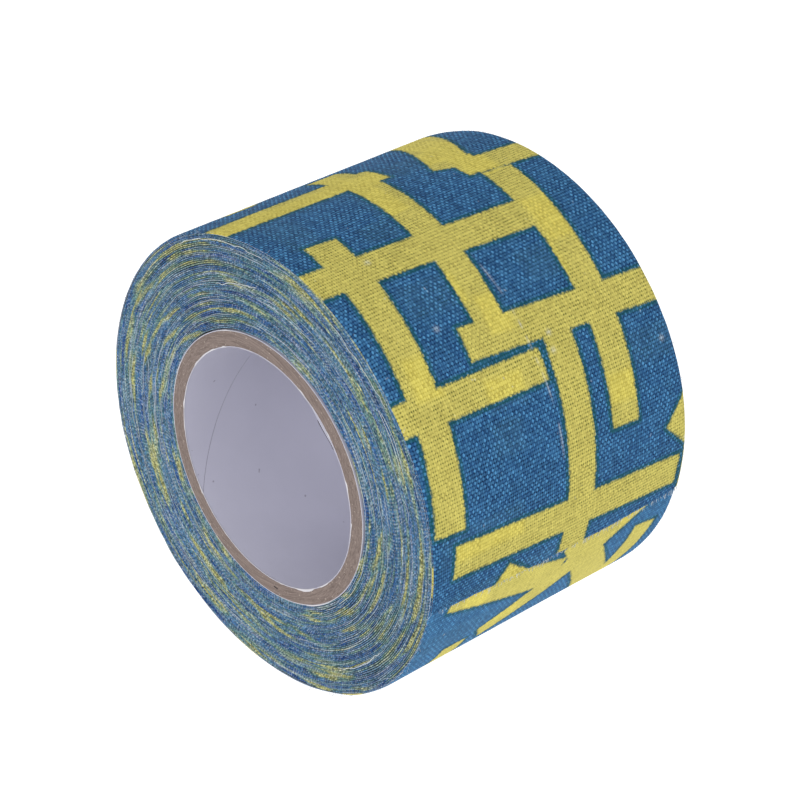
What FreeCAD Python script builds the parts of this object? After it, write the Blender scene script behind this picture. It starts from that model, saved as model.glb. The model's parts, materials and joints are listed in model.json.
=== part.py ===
import FreeCAD, Part

import math
import os

import Sketcher
from FreeCAD import Placement, Rotation, Vector

# A roll of printed cloth grip tape on a spiral-wound paperboard core.
# The roll lies on its curved side: its axis is Y and Z is up. The origin is the middle of the bore.
# Angles are measured about the axis from +X towards +Z.

SIZES = [
    ("tape_width", 50, "width of the tape, and length of the core"),
    ("bore_radius", 18.6, "inside of the core"),
    ("inner_liner_thickness", 0.09, "white paper that faces the bore"),
    ("kraft_ply_thickness", 0.76, "one of the core's three kraft board plies"),
    ("outer_liner_thickness", 0.12, "white paper under the tape"),
    ("glue_film", 0.015, "glue between two plies of the core"),
    ("seam_width", 0.12, "gap where the turns of the inner liner meet"),
    ("seam_lead", 72.7, "how far the seam runs along the bore in one turn"),
    ("seam_angle", 93.1, "where the seam crosses the middle of the bore"),
    ("turns", 55, "whole turns of tape on the core"),
    ("cloth_thickness", 0.21, "woven cloth with its print"),
    ("adhesive_thickness", 0.04, "tacky layer on the cloth's inner side"),
    ("winding_slack", 0.012, "space between one turn and the next"),
    ("tail_start_angle", -13.3, "the tape's cut end"),
    ("tail_arc", 38, "arc of the tape that peels up, from the cut end to its root"),
    ("root_gap_angle", 0.03, "gap at the root, where the peeled stretch bends"),
    ("groove_depth", 0.5, "how far the adhesive stops short of the tape's cut edges"),
]

KRAFT_PLIES = 3
SEAM_OVERRUN = 0.5  # how far the seam's cutter stands proud of the liner, and past its ends, in mm
GROOVE_OVERRUN = 0.5  # how far the grooves' cutter runs past each end face, in mm
WEB_REACH = 2  # bore radii from the axis to outside the roll

ALONG_AXIS = Rotation(Vector(1, 0, 0), 90)  # turns +Z to -Y, and keeps +X


def make_sheet(doc):
    """The driving dimensions, each in a cell with its own alias."""
    sheet = doc.addObject("Spreadsheet::Sheet", "sizes")
    for row, (alias, value, meaning) in enumerate(SIZES, start=1):
        sheet.set(f"A{row}", alias)
        sheet.set(f"B{row}", str(value))
        sheet.set(f"C{row}", meaning)
        sheet.setAlias(f"B{row}", alias)
    doc.recompute()
    return sheet


def origin_plane(body, role):
    return next(o for o in body.Origin.OriginFeatures if o.Role == role)


def flat_sketch(body, name, role):
    sketch = body.newObject("Sketcher::SketchObject", name)
    sketch.AttachmentSupport = (origin_plane(body, role), "")
    sketch.MapMode = "FlatFace"
    return sketch


def add_circle(sketch, name, radius_formula):
    """A circle about the roll's axis whose radius follows a formula of the sheet's cells."""
    circle = sketch.addGeometry(Part.Circle(Vector(0, 0, 0), Vector(0, 0, 1), 20), False)
    sketch.addConstraint(Sketcher.Constraint("Coincident", circle, 3, -1, 1))
    index = sketch.addConstraint(Sketcher.Constraint("Radius", circle, 20))
    sketch.renameConstraint(index, name)
    sketch.setExpression(f"Constraints.{name}", radius_formula)


def make_ply(doc, label, inner_formula, outer_formula):
    """One paper layer of the core: a thin tube as long as the tape is wide."""
    body = doc.addObject("PartDesign::Body", label)
    ring = flat_sketch(body, f"{label}_ring", "XZ_Plane")
    # the larger circle comes first, so that neither constraint has to cross the other
    add_circle(ring, "outer_radius", outer_formula)
    add_circle(ring, "inner_radius", inner_formula)
    tube = body.newObject("PartDesign::Pad", f"{label}_tube")
    tube.Profile = ring
    tube.Midplane = True
    tube.setExpression("Length", "sizes.tape_width")
    doc.recompute()
    return body


def cut_seam(doc, body, sheet):
    """The open butt seam of the inner liner, a right-handed helix along the bore."""
    before = body.Shape.Volume
    section = flat_sketch(body, f"{body.Label}_seam_section", "XY_Plane")
    run = sheet.tape_width + 2 * SEAM_OVERRUN
    low = sheet.bore_radius - SEAM_OVERRUN
    high = sheet.bore_radius + sheet.inner_liner_thickness + SEAM_OVERRUN
    start = -run / 2
    end = start + sheet.seam_width
    corners = [(low, start), (high, start), (high, end), (low, end)]
    for (x, y), (next_x, next_y) in zip(corners, corners[1:] + corners[:1]):
        section.addGeometry(Part.LineSegment(Vector(x, y, 0), Vector(next_x, next_y, 0)), False)
    turned_back = 180 * run / sheet.seam_lead  # from the middle of the bore to the seam's start
    body.Placement = Placement(Vector(0, 0, 0), Rotation(Vector(0, 1, 0), -sheet.seam_angle - turned_back))
    seam = body.newObject("PartDesign::SubtractiveHelix", f"{body.Label}_seam")
    seam.Profile = section
    seam.ReferenceAxis = (section, ["V_Axis"])
    seam.Mode = "pitch-height-angle"
    seam.setExpression("Pitch", "sizes.seam_lead")
    seam.setExpression("Height", f"sizes.tape_width + {2 * SEAM_OVERRUN}")
    body.Tip = seam
    doc.recompute()
    if not body.Shape.Volume < before:
        raise RuntimeError("the seam cut nothing from the inner liner")


def make_core(doc, sheet):
    """The core's plies from the bore outwards. Returns them with the formula of its outer radius."""
    layers = [("core_inner_liner", "sizes.inner_liner_thickness")]
    layers += [(f"core_kraft_ply_{n}", "sizes.kraft_ply_thickness") for n in range(1, KRAFT_PLIES + 1)]
    layers += [("core_outer_liner", "sizes.outer_liner_thickness")]
    plies = []
    inner = "sizes.bore_radius"
    for label, thickness in layers:
        outer = f"{inner} + {thickness}"
        plies.append(make_ply(doc, label, inner, outer))
        inner = f"{outer} + sizes.glue_film"
    cut_seam(doc, plies[0], sheet)
    return plies, outer


def pitch(sheet):
    """How much the roll's radius grows with one turn of tape."""
    return sheet.cloth_thickness + sheet.adhesive_thickness + sheet.winding_slack


def roll_radius(sheet):
    """The radius at the tape's cut end. The inner end lies on the core, so it adds a turn's height."""
    board = sheet.inner_liner_thickness + KRAFT_PLIES * sheet.kraft_ply_thickness
    core = sheet.bore_radius + board + sheet.outer_liner_thickness + (KRAFT_PLIES + 1) * sheet.glue_film
    return core + (sheet.turns + 1) * pitch(sheet)


def ray(degrees):
    return Vector(math.cos(math.radians(degrees)), 0, math.sin(math.radians(degrees)))


def winding_arc(sheet, half_turn, depth, first_angle, last_angle):
    """Up to half a turn of the winding, as an arc at a depth below the tape's printed face.

    Half turns have two centres in turn, half a pitch apart on the line through the cut end, so
    that each arc meets the next with no kink and the radius shrinks by a pitch with every turn."""
    away = 0.5 * pitch(sheet) * (half_turn % 2)
    centre = ray(sheet.tail_start_angle) * -away
    radius = roll_radius(sheet) - 0.5 * pitch(sheet) * half_turn - depth
    angles = (first_angle, 0.5 * (first_angle + last_angle), last_angle)
    return Part.Arc(*[centre + ray(angle) * radius for angle in angles]).toShape()


def winding_curve(sheet, depth, unwound_from, unwound_to):
    """The winding's spiral at one depth, between two angles counted along the tape from its cut end."""
    arcs = []
    for half_turn in range(int(unwound_from // 180), math.ceil(unwound_to / 180)):
        first = max(unwound_from, 180 * half_turn)
        last = min(unwound_to, 180 * (half_turn + 1))
        cut_end = sheet.tail_start_angle
        arcs.append(winding_arc(sheet, half_turn, depth, cut_end + first, cut_end + last))
    return arcs


def straight_between(first, second):
    return Part.LineSegment(first.Point, second.Point).toShape()


def strip_section(sheet, top, bottom, unwound_from, unwound_to):
    """The end view of a stretch of the tape that lies between two depths."""
    outside = winding_curve(sheet, top, unwound_from, unwound_to)
    inside = winding_curve(sheet, bottom, unwound_from, unwound_to)
    start = straight_between(outside[0].Vertexes[0], inside[0].Vertexes[0])
    end = straight_between(outside[-1].Vertexes[1], inside[-1].Vertexes[1])
    return Part.Face(Part.Wire(Part.__sortEdges__(outside + inside + [start, end])))


def root_angle(sheet):
    """Where the outer turn begins, counted along the tape from its cut end."""
    return sheet.tail_arc + sheet.root_gap_angle


def extrude_about_middle(doc, label, section_shape, length_formula):
    """A solid with one section along Y, centred half way across the tape."""
    section = doc.addObject("Part::Feature", f"{label}_section")
    section.Shape = section_shape
    solid = doc.addObject("Part::Extrusion", label)
    solid.Base = section
    solid.DirMode = "Custom"
    solid.Dir = Vector(0, 1, 0)
    solid.Solid = True
    solid.Symmetric = True
    solid.setExpression("LengthFwd", length_formula)
    return solid


def make_outer_layer(doc, sheet, label, top, bottom):
    """A layer of the outermost turn, from the root of the tail once round to under that root."""
    root = root_angle(sheet)
    section = strip_section(sheet, top, bottom, root, root + 360)
    return extrude_about_middle(doc, label, section, "sizes.tape_width")


def bonded_section(sheet, core_edge_radius):
    """The end view of the turns under the outer one: a spiral outside, with a step where the
    outer turn leaves it, and the core's circle inside."""
    start = root_angle(sheet) + 360
    outside = winding_curve(sheet, 0, start + sheet.root_gap_angle, start + 360)
    step = straight_between(outside[-1].Vertexes[1], outside[0].Vertexes[0])
    boundary = Part.Wire(Part.__sortEdges__(outside + [step]))
    core_edge = Part.Wire(Part.Circle(Vector(0, 0, 0), Vector(0, 1, 0), core_edge_radius).toShape())
    return Part.Face([boundary, core_edge])


def web_half_length(sheet):
    """Half of the length over which the turns are bonded."""
    return sheet.tape_width / 2 - sheet.groove_depth


def make_winding(doc, sheet):
    """The turns that their adhesive bonds into one block, with the edges of the turns in its ends.

    The adhesive stops short of the cloth's cut edges, which leaves one long spiral groove in
    each end face."""
    core_edge_radius = roll_radius(sheet) - (sheet.turns + 1) * pitch(sheet) + sheet.glue_film
    block = extrude_about_middle(
        doc, "tape_winding_block", bonded_section(sheet, core_edge_radius), "sizes.tape_width"
    )
    first = root_angle(sheet) + 360
    last = 360 * sheet.turns - 360
    groove = strip_section(sheet, sheet.cloth_thickness, pitch(sheet), first, last)
    grooves = extrude_about_middle(
        doc, "tape_winding_grooves", groove, f"sizes.tape_width + {2 * GROOVE_OVERRUN}"
    )
    web = doc.addObject("Part::Cylinder", "tape_winding_web")
    web.setExpression("Radius", f"sizes.bore_radius * {WEB_REACH}")
    web.setExpression("Height", "sizes.tape_width - 2 * sizes.groove_depth")
    web.Placement = Placement(Vector(0, web_half_length(sheet), 0), ALONG_AXIS)
    groove_ends = doc.addObject("Part::Cut", "tape_winding_groove_ends")
    groove_ends.Base = grooves
    groove_ends.Tool = web
    winding = doc.addObject("Part::Cut", "tape_winding")
    winding.Base = block
    winding.Tool = groove_ends
    return winding


def make_tail_layer(doc, sheet, label, top_formula, thickness_formula):
    """A layer of the stretch at the cut end, which peels up about its root."""
    tool = []
    for side, formula in (("outside", top_formula), ("inside", f"{top_formula} - {thickness_formula}")):
        cylinder = doc.addObject("Part::Cylinder", f"{label}_{side}")
        cylinder.setExpression("Radius", formula)
        cylinder.setExpression("Height", "sizes.tape_width")
        cylinder.setExpression("Angle", "sizes.tail_arc")
        tool.append(cylinder)
    layer = doc.addObject("Part::Cut", label)
    layer.Base, layer.Tool = tool
    turn_to_tail = Rotation(Vector(0, 1, 0), -sheet.tail_start_angle)
    layer.Placement = Placement(Vector(0, sheet.tape_width / 2, 0), turn_to_tail * ALONG_AXIS)
    return layer


def check_document(doc, nodes):
    """recompute() can leave a failed object without raising."""
    failed = [o.Name for o in doc.Objects if "Invalid" in o.State or "Error" in o.State]
    if failed:
        raise RuntimeError(f"failed objects: {failed}")
    for node in nodes:
        if node.Shape.isNull() or not node.Shape.isValid() or len(node.Shape.Solids) != 1:
            raise RuntimeError(f"{node.Label} isn't one valid solid")


def main():
    doc = FreeCAD.newDocument("grip_tape_roll")
    sheet = make_sheet(doc)
    nodes, core_radius = make_core(doc, sheet)

    nodes.append(make_winding(doc, sheet))

    cloth = sheet.cloth_thickness
    under_adhesive = cloth + sheet.adhesive_thickness
    nodes.append(make_outer_layer(doc, sheet, "outer_turn_cloth", 0, cloth))
    nodes.append(make_outer_layer(doc, sheet, "outer_turn_adhesive", cloth, under_adhesive))

    one_turn = "(sizes.cloth_thickness + sizes.adhesive_thickness + sizes.winding_slack)"
    outside = f"{core_radius} + (sizes.turns + 1) * {one_turn}"
    under_cloth = f"{outside} - sizes.cloth_thickness"
    nodes.append(make_tail_layer(doc, sheet, "tail_cloth", outside, "sizes.cloth_thickness"))
    nodes.append(make_tail_layer(doc, sheet, "tail_adhesive", under_cloth, "sizes.adhesive_thickness"))

    doc.recompute()
    check_document(doc, nodes)
    os.makedirs("parts", exist_ok=True)
    for node in nodes:
        node.Shape.exportStep(f"parts/{node.Label}.step")
        print(node.Label, round(node.Shape.Volume, 2), "mm3", node.Shape.BoundBox)


main()
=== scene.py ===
import json
import math

import bpy
import numpy as np
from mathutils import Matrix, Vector


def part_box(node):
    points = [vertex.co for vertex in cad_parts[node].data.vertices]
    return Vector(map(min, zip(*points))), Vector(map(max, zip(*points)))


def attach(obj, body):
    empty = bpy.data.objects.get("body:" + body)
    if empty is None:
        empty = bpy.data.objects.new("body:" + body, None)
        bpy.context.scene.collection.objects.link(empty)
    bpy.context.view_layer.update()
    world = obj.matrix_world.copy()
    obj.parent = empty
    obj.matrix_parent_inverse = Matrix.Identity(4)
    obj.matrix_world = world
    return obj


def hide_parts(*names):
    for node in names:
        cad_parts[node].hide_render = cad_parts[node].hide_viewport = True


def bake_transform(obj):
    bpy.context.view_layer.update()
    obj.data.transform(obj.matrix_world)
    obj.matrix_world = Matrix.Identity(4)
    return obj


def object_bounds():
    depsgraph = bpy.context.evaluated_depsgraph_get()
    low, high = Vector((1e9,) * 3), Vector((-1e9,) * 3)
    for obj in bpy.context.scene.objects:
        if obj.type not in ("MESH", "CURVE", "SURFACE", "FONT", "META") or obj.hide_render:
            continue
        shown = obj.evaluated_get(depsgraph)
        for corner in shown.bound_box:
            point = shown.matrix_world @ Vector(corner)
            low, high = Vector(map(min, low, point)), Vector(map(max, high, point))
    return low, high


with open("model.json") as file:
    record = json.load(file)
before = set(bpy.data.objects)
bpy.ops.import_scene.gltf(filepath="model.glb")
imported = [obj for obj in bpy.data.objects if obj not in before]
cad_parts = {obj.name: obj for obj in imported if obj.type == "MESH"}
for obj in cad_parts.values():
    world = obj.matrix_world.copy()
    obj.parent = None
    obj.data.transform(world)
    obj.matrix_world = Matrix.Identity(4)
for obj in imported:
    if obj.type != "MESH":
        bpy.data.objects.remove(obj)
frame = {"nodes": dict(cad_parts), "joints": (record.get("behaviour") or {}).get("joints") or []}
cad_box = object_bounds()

# A roll of printed cloth grip tape on a paperboard core, lying on its curved side. The roll's axis is Y.
# Lengths here are in mm and angles in degrees about the axis, from +X towards +Z. A place along the tape is
# given by its unwound angle or length, both counted from the cut end.

MM = 0.001
HINGE = next(j for j in frame["joints"] if j["name"] == "tail_peel")
PIVOT = np.array(HINGE["pos_m"]) / MM
ROLL_RADIUS = math.hypot(PIVOT[0], PIVOT[2])
ROOT_ANGLE = math.degrees(math.atan2(PIVOT[2], PIVOT[0]))
TAIL_ARC = 38.0  # from the cut end to the root of the stretch that peels
CUT_ANGLE = ROOT_ANGLE - TAIL_ARC
HALF_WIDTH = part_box("outer_turn_cloth")[1].y / MM
CORE_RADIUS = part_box("core_outer_liner")[1].x / MM
BORE_RADIUS = 18.6  # the inside of the core
SEAM_LEAD = 72.7  # how far the bore's seam runs along the axis in one turn
SEAM_ANGLE = 93.1  # where the seam crosses the middle of the bore
FLOOR_Z = cad_box[0].z / MM
TURNS = 55
PITCH = 0.262  # from one turn of tape to the next
CLOTH = 0.21  # the thickness of the cloth alone
TAPE = 0.25  # the thickness of the cloth and its adhesive

WEFT_PITCH = 0.541  # from one thread that runs along the axis to the next
WARP_PITCH = 0.387  # from one thread that runs round the roll to the next
THREAD_RISE = 0.05  # how far a thread swings up and down as it passes over and under
THREAD_RADIUS = 0.06

RIM_DROP = 0.28  # how much closer to the axis the rolled tape's edges are than its middle
RIM_WIDTH = 1.6
FRONT_LOBES = 0.36  # the front rim is pressed in more at three places round it
FRONT_LOBE_PHASE = -99.0
LEAST_DROP = 0.03  # between those places

# ---- the print

# Plain bars: from (along, across) to (along, across), then the width.
BARS = [
    ((-4, 2), (36, 5.6), 5.4),
    ((-5, -12.6), (1.2, -7.6), 7.0),
    ((-4, 26.6), (8, 27.2), 5.0),
    ((8.35, -21.3), (4.5, 23.6), 5.4),
    ((13.1, -21.8), (60.3, -17.6), 5.6),
    ((10.3, 22.8), (14.9, 27.4), 6.4),
    ((30.8, -27), (29.7, 1.2), 5.0),
    ((36.6, -10), (33.4, 27), 5.3),
    ((36.8, -4.2), (81.3, 0), 5.4),
    ((16.2, 12.7), (60.8, 16.5), 5.4),
    ((53.5, -27), (50.8, 15), 5.4),
    ((63.5, 14), (62.2, 27), 4.9),
    ((61.4, 14.4), (67, 14.4), 5.0),
    ((64.7, 12), (94.6, 23.6), 6.8),
    ((73.9, -27), (72.6, 3), 5.5),
    ((69.2, 2.2), (75.1, 2.4), 2.8),
    ((82, -14), (124, -10), 5.4),
    ((91.6, -19), (90.4, 8), 5.4),
    ((96, 6), (133, 9), 5.4),
    ((104.5, -6), (101.5, 27), 5.3),
    ((112, 18.6), (160, 21.4), 5.5),
    ((118, -27), (116.8, -2), 5.2),
    ((128.4, 2), (125.6, 27), 5.4),
    ((132, -17), (176, -13.6), 5.4),
    ((140, -27), (137.4, 17), 5.4),
    ((146, 1), (190, 4.6), 5.4),
    ((158, -12), (155.6, 27), 5.3),
    ((171, -27), (169.6, 6), 5.4),
    ((166, 13), (188, 20), 5.6),
    ((183, -8), (181, 27), 5.4),
    ((196.4, -27), (194.6, -4), 5.3),
    ((202.5, 17), (219.5, 19.9), 4.8),
    ((203, 16.8), (225, 4.2), 6.4),
    ((200, -15.8), (211.8, -15.2), 4.8),
    ((210.6, -10.3), (226.5, 18.8), 4.8),
    ((226, -20.5), (218.8, 2), 5.6),
    ((231, -27), (229, -3), 5.4),
    ((225, 11), (240, 13), 5.4),
]
PRINT_LENGTH = 243.0  # the print repeats after this length of tape

# The bars on the second turn that lie under yellow bars of the first, where the cloth looks brighter.
SECOND_TURN_BARS = [
    ((-0.1, -23), (0.2, 0), 4.6),
    ((-9, 2.2), (-4.4, 2.8), 5.2),
    ((31.8, -18.9), (38, -18.3), 4.6),
    ((28.7, -10), (28.2, -3.4), 4.6),
    ((36, -2.8), (42, -2.2), 4.2),
    ((45.1, -14.5), (44.6, -5), 5.4),
    ((22.6, -11.4), (22.2, -5.8), 5.0),
    ((22, 11), (21.6, 16), 4.4),
    ((26, 16.8), (25.6, 27), 5.0),
    ((43.2, 5.8), (42.7, 13), 5.2),
    ((45, 16), (53, 16.6), 5.4),
    ((10.8, -24), (10.2, -8), 5.2),
    ((56, -9), (62, -8), 5.4),
]
SECOND_TURN_SPAN = 60.0  # the length of tape they cover


def print_depth(along, across, bars=BARS):
    """How far inside the yellow a place on the tape is, in mm. It is negative on the blue."""
    along = np.mod(along + 8, PRINT_LENGTH) - 8
    depth = np.full(np.broadcast(along, across).shape, -9.0)
    for start, end, width in bars:
        start, end = np.array(start, float), np.array(end, float)
        middle, run = (start + end) / 2, end - start
        length = math.hypot(*run)
        run /= length
        for repeat in (0, PRINT_LENGTH):
            x, y = along - middle[0] + repeat, across - middle[1]
            outside_ends = np.abs(x * run[0] + y * run[1]) - length / 2
            outside_sides = np.abs(y * run[0] - x * run[1]) - width / 2
            beyond = np.hypot(np.maximum(outside_ends, 0), np.maximum(outside_sides, 0))
            depth = np.maximum(depth, -(np.minimum(np.maximum(outside_ends, outside_sides), 0) + beyond))
    return depth


# ---- where the tape lies


def wander(x, period, seed):
    """A smooth random line between -1 and 1, one value per x, that changes over one period."""
    values = np.random.default_rng(seed).uniform(-1, 1, int(np.max(x) / period) + 4)
    cell = np.floor(x / period).astype(int)
    part = x / period - cell
    part = part * part * (3 - 2 * part)
    return values[cell] * (1 - part) + values[cell + 1] * part


def wander_2d(x, y, x_period, y_period, seed, wrap=None):
    """A smooth random field between -1 and 1, for x and y from 0 up. With wrap, it repeats after that many
    periods of x."""
    shape = (int(np.max(x) / x_period) + 4, int(np.max(y) / y_period) + 4)
    values = np.random.default_rng(seed).uniform(-1, 1, shape)
    i, j = np.floor(x / x_period).astype(int), np.floor(y / y_period).astype(int)
    p, q = x / x_period - i, y / y_period - j
    p, q = p * p * (3 - 2 * p), q * q * (3 - 2 * q)
    after = i + 1
    if wrap:
        i, after = i % wrap, after % wrap
    low = values[i, j] * (1 - p) + values[after, j] * p
    return low * (1 - q) + (values[i, j + 1] * (1 - p) + values[after, j + 1] * p) * q


def around(unwound, places, turns, seed, slant=0.0):
    """A smooth random field on an end face: so many cells round the roll, each some turns of tape thick. It
    slips round by the slant from one turn to the next."""
    angle = np.mod(unwound * (1 + slant / 360), 360)
    return wander_2d(angle, unwound / 360, 360 / places, turns, seed, wrap=places)


def smooth_step(x, low, high):
    t = np.clip((x - low) / (high - low), 0, 1)
    return t * t * (3 - 2 * t)


def radius_at(unwound):
    return ROLL_RADIUS - PITCH * unwound / 360


def length_at(unwound):
    """The length of tape from the cut end to an unwound angle."""
    turned = np.radians(unwound)
    return ROLL_RADIUS * turned - PITCH / (4 * math.pi) * turned * turned


def rim_drop(unwound, across):
    """How far an edge of the tape is pressed in, which is less for the turns near the core."""
    share = (radius_at(unwound) - CORE_RADIUS) / (ROLL_RADIUS - CORE_RADIUS)
    near = np.clip((np.abs(across) - (HALF_WIDTH - RIM_WIDTH)) / RIM_WIDTH, 0, 1)
    lobes = np.cos(np.radians(3 * (CUT_ANGLE + unwound) + FRONT_LOBE_PHASE))
    drop = np.maximum(RIM_DROP + np.where(across < 0, FRONT_LOBES, 0) * lobes, LEAST_DROP)
    return drop * share * near * near


def edge_shift(unwound, side):
    """How far the tape's edge stands off the flat end of the roll. Side is -1 at the front, 1 at the back."""
    seed = 11 if side < 0 else 12
    along = length_at(unwound)
    shared = around(unwound, 9, 3, seed + 10)
    return -0.08 + 0.07 * shared + 0.06 * wander(along, 14, seed) + 0.03 * wander(along, 1.3, seed + 20)


def ripple(unwound):
    """How far the turns near one place wave in and out together."""
    settled = smooth_step(unwound, 400, 1200)
    return settled * (0.13 * around(unwound, 32, 5, 31) + 0.05 * around(unwound, 110, 2.5, 32))


def edge_print(unwound, side):
    """How yellow an edge in an end face is, above zero. Bars of neighbouring turns nearly line up there."""
    seed = 33 if side < 0 else 37
    patches = around(unwound, 34, 3.4, seed, 2.0) + 0.35 * around(unwound, 90, 1.7, seed + 1)
    streaks = around(unwound, 22, 1.4, seed + 2, 2.0)
    return np.maximum(patches - 0.58, streaks - 0.74)


def about_axis(radius, degrees, y):
    """Points from their distance to the axis, their angle about it and their place along it."""
    radius, angle, y = np.broadcast_arrays(radius, np.radians(degrees), y)
    return np.stack([radius * np.cos(angle), y, radius * np.sin(angle)], axis=-1)


def place(unwound, across, depth):
    """Points of the tape at a depth below its face."""
    radius = radius_at(unwound) - rim_drop(unwound, across) - depth
    return about_axis(radius, CUT_ANGLE + unwound, across)


# ---- meshes


def make_mesh(name, points, faces, smooth=True):
    """An object from points in mm and face arrays, each of shape (faces, corners)."""
    mesh = bpy.data.meshes.new(name)
    mesh.vertices.add(len(points))
    mesh.vertices.foreach_set("co", (np.asarray(points) * MM).astype(np.float32).ravel())
    corners = np.concatenate([np.asarray(group).ravel() for group in faces])
    counts = np.concatenate([np.full(len(group), len(group[0])) for group in faces])
    mesh.loops.add(len(corners))
    mesh.loops.foreach_set("vertex_index", corners.astype(np.int32))
    mesh.polygons.add(len(counts))
    mesh.polygons.foreach_set("loop_start", (np.cumsum(counts) - counts).astype(np.int32))
    mesh.update(calc_edges=True)
    mesh.polygons.foreach_set("use_smooth", np.full(len(counts), smooth))
    piece = bpy.data.objects.new(name, mesh)
    bpy.context.scene.collection.objects.link(piece)
    return piece


def set_values(piece, name, values):
    """A number or a vector on each of the piece's points, for its material."""
    values = np.asarray(values, np.float32)
    kind, field = ("FLOAT", "value") if values.ndim == 1 else ("FLOAT_VECTOR", "vector")
    piece.data.attributes.new(name, kind, "POINT").data.foreach_set(field, values.ravel())


def map_corners(piece, places):
    """A UV map from one place per face corner. It gives the visible faces nearly all of a baked texture."""
    piece.data.uv_layers.new(name="OFBake").data.foreach_set("uv", np.asarray(places, np.float32).ravel())


def corner_points(piece):
    """The number of the point at each face corner."""
    numbers = np.empty(len(piece.data.loops), np.int32)
    piece.data.loops.foreach_get("vertex_index", numbers)
    return numbers


def grid_quads(rows, columns, first=0, flip=False):
    index = first + np.arange(rows * columns).reshape(rows, columns)
    quads = np.stack([index[:-1, :-1], index[1:, :-1], index[1:, 1:], index[:-1, 1:]], axis=-1).reshape(-1, 4)
    return quads[:, ::-1] if flip else quads


def grid_border(rows, columns):
    """The points round the edge of a grid, in order."""
    index = np.arange(rows * columns).reshape(rows, columns)
    return np.concatenate([index[:-1, 0], index[-1, :-1], index[:0:-1, -1], index[0, :0:-1]])


def tube(name, sections, closed=False, flip=False):
    """A tube through a row of sections, closed into a ring or capped at both ends."""
    count, corners = sections.shape[:2]
    index = np.arange(count * corners).reshape(count, corners)
    after, beside = np.roll(index, -1, axis=0), np.roll(index, -1, axis=1)
    quads = np.stack([index, beside, np.roll(after, -1, axis=1), after], axis=-1)
    caps = np.stack([index[0, ::-1], index[-1]])
    if flip:
        quads, caps = quads[..., [0, 3, 2, 1]], caps[:, ::-1]
    faces = [quads.reshape(-1, 4)] if closed else [quads[:-1].reshape(-1, 4), caps]
    return make_mesh(name, sections.reshape(-1, 3), faces)


def thin_sheet(name, top, bottom, flip=False):
    """A sheet between two grids of points, closed round its border."""
    rows, columns = top.shape[:2]
    border, count = grid_border(rows, columns), rows * columns
    after = np.roll(border, -1)
    side = np.stack([border + count, after + count, after, border], axis=-1)
    side = side[:, [2, 1, 0, 3]] if flip else side
    faces = [grid_quads(rows, columns, flip=flip), grid_quads(rows, columns, count, flip=not flip), side]
    return make_mesh(name, np.concatenate([top.reshape(-1, 3), bottom.reshape(-1, 3)]), faces)


def weave_height(i, j):
    """The height of a plain weave at places counted in threads along and across the tape."""
    warp = THREAD_RADIUS * np.sqrt(np.maximum(0, 1 - (2 * np.mod(j, 1) - 1) ** 2))
    weft = THREAD_RADIUS * np.sqrt(np.maximum(0, 1 - (2 * np.mod(i, 1) - 1) ** 2))
    warp = warp + THREAD_RISE * np.where(np.floor(j) % 2 == 0, 1, -1) * np.sin(np.pi * i)
    weft = weft - THREAD_RISE * np.where(np.floor(i) % 2 == 0, 1, -1) * np.sin(np.pi * j)
    return np.maximum(warp, weft)


def cut_line(across):
    """How far along the tape its cut end lies, for each place across it."""
    jag = 0.06 * wander(across + 30, 0.8, 71) + 0.1 * wander(across + 30, 3.7, 72)
    nick = 0.35 * np.exp(-(((across + 0.5) / 0.5) ** 2))
    return 0.0016 * (across - 6) ** 2 - 0.3 + jag + nick


# Thick undyed stretches of single threads: from and to along the tape, then how far across.
SLUBS = [(15, 49, 0.3), (118, 131, -9.6), (166, 172, 14.2), (74, 78, -15.5)]
NUBS = [(30.8, 3.6), (33.3, 4.1), (53.6, -14.6), (25.7, 22.9), (40.2, -12.6)]


def slub_mask(along, across):
    """Where the cloth has an undyed thread or a pale knot of lint."""
    mask = np.zeros(along.shape)
    for first, last, line in SLUBS:
        on_line = np.exp(-(((across - line - 0.12 * np.sin(along * 0.35)) / 0.16) ** 2))
        patchy = smooth_step(wander(along + 40, 1.1, 48), -0.7, 0.6)
        inside = smooth_step(along, first, first + 3) * smooth_step(last - along, 0, 3)
        mask = np.maximum(mask, 0.42 * on_line * patchy * inside)
    for spot, line in NUBS:
        mask = np.maximum(mask, 0.45 * np.exp(-((along - spot) ** 2 + (across - line) ** 2) / 0.16))
    return mask


LEAST_CLOTH = 0.03  # left between the deepest hollow of the weave and the underside
UNDER_STEP = 10  # threads between the rows of the smooth underside
# A painted sheen, which leaves the weave paler and smoother, fades in between the first two unwound angles
# and out again between the other two.
SHEEN_FADE_IN, SHEEN_FADE_OUT = (290, 335), (361, 366)
UNSEEN_SHARE = 0.1  # of a strip's UV map, for all but its outer face


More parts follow.
